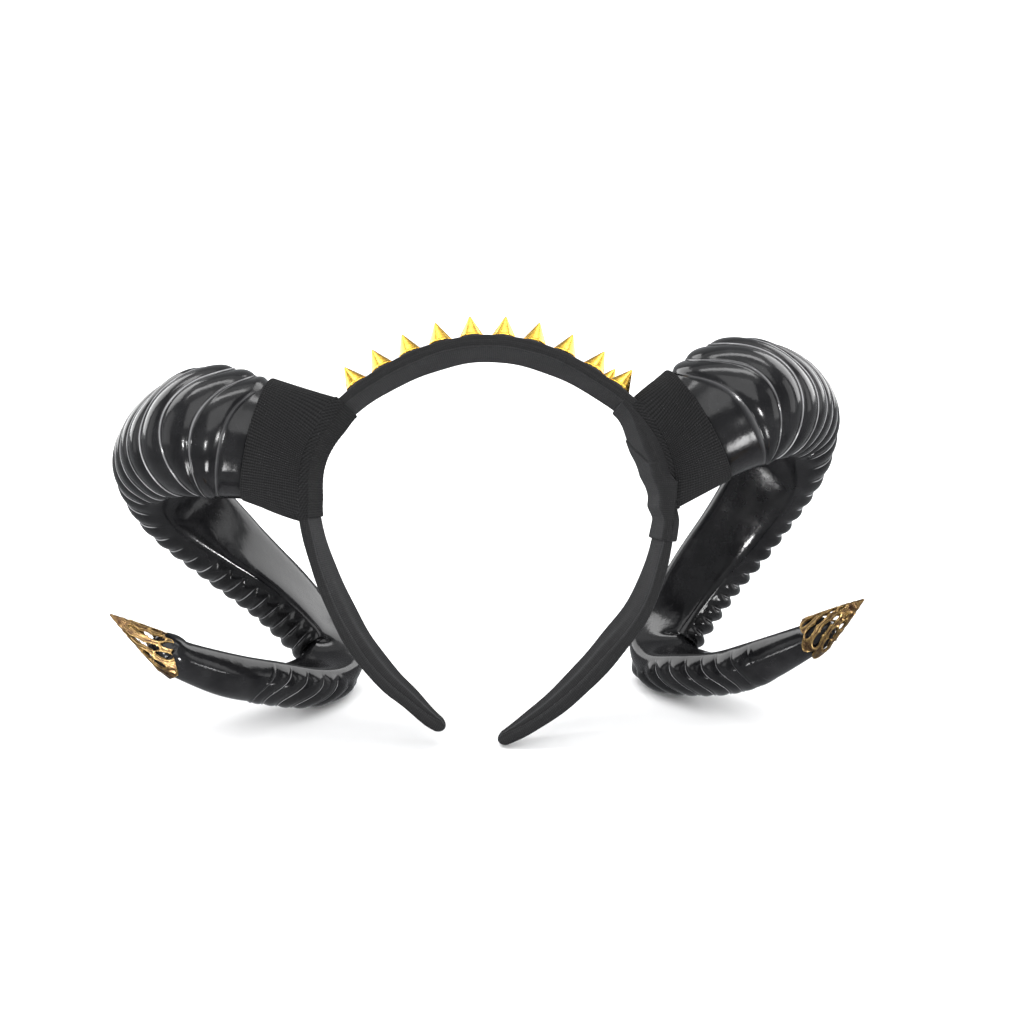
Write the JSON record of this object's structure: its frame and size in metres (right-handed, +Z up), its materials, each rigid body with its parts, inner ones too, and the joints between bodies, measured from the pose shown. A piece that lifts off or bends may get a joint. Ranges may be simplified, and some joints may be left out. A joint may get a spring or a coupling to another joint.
{
  "type": "ram horns headband",
  "caption": "Open cloth-covered hair hoop with two curled ribbed ram horns in knit sleeves, a row of cone studs on its crown and pierced cone caps on the horn tips.",
  "frame": {"origin": "bottom centre of the bounding box, on the surface the headband rests on", "axes": "+X to the right of someone looking at the hoop's front, across both horns; +Y back, from the hoop to the horns' rear bends; +Z up, with the hoop leant back as it rests"},
  "size_m": [0.2706, 0.1068, 0.1486],
  "materials": {
    "cloth": "plain black woven cloth",
    "knit": "black ribbed knit",
    "horn": "high gloss black",
    "gold": "bright yellow gold plate",
    "brass": "antique gold"
  },
  "bodies": {
    "root": {"headband": "cloth", "horn_left": "horn", "horn_right": "horn", "sleeve_left": "knit", "sleeve_right": "knit", "wrap_left": "knit", "wrap_right": "knit", "strip_right": "cloth", "tip_cap_left": "brass", "tip_cap_right": "brass", "spike_01": "gold", "spike_02": "gold", "spike_03": "gold", "spike_04": "gold", "spike_05": "gold", "spike_06": "gold", "spike_07": "gold", "spike_08": "gold", "spike_09": "gold", "spike_10": "gold", "spike_11": "gold"}
  },
  "joints": []
}
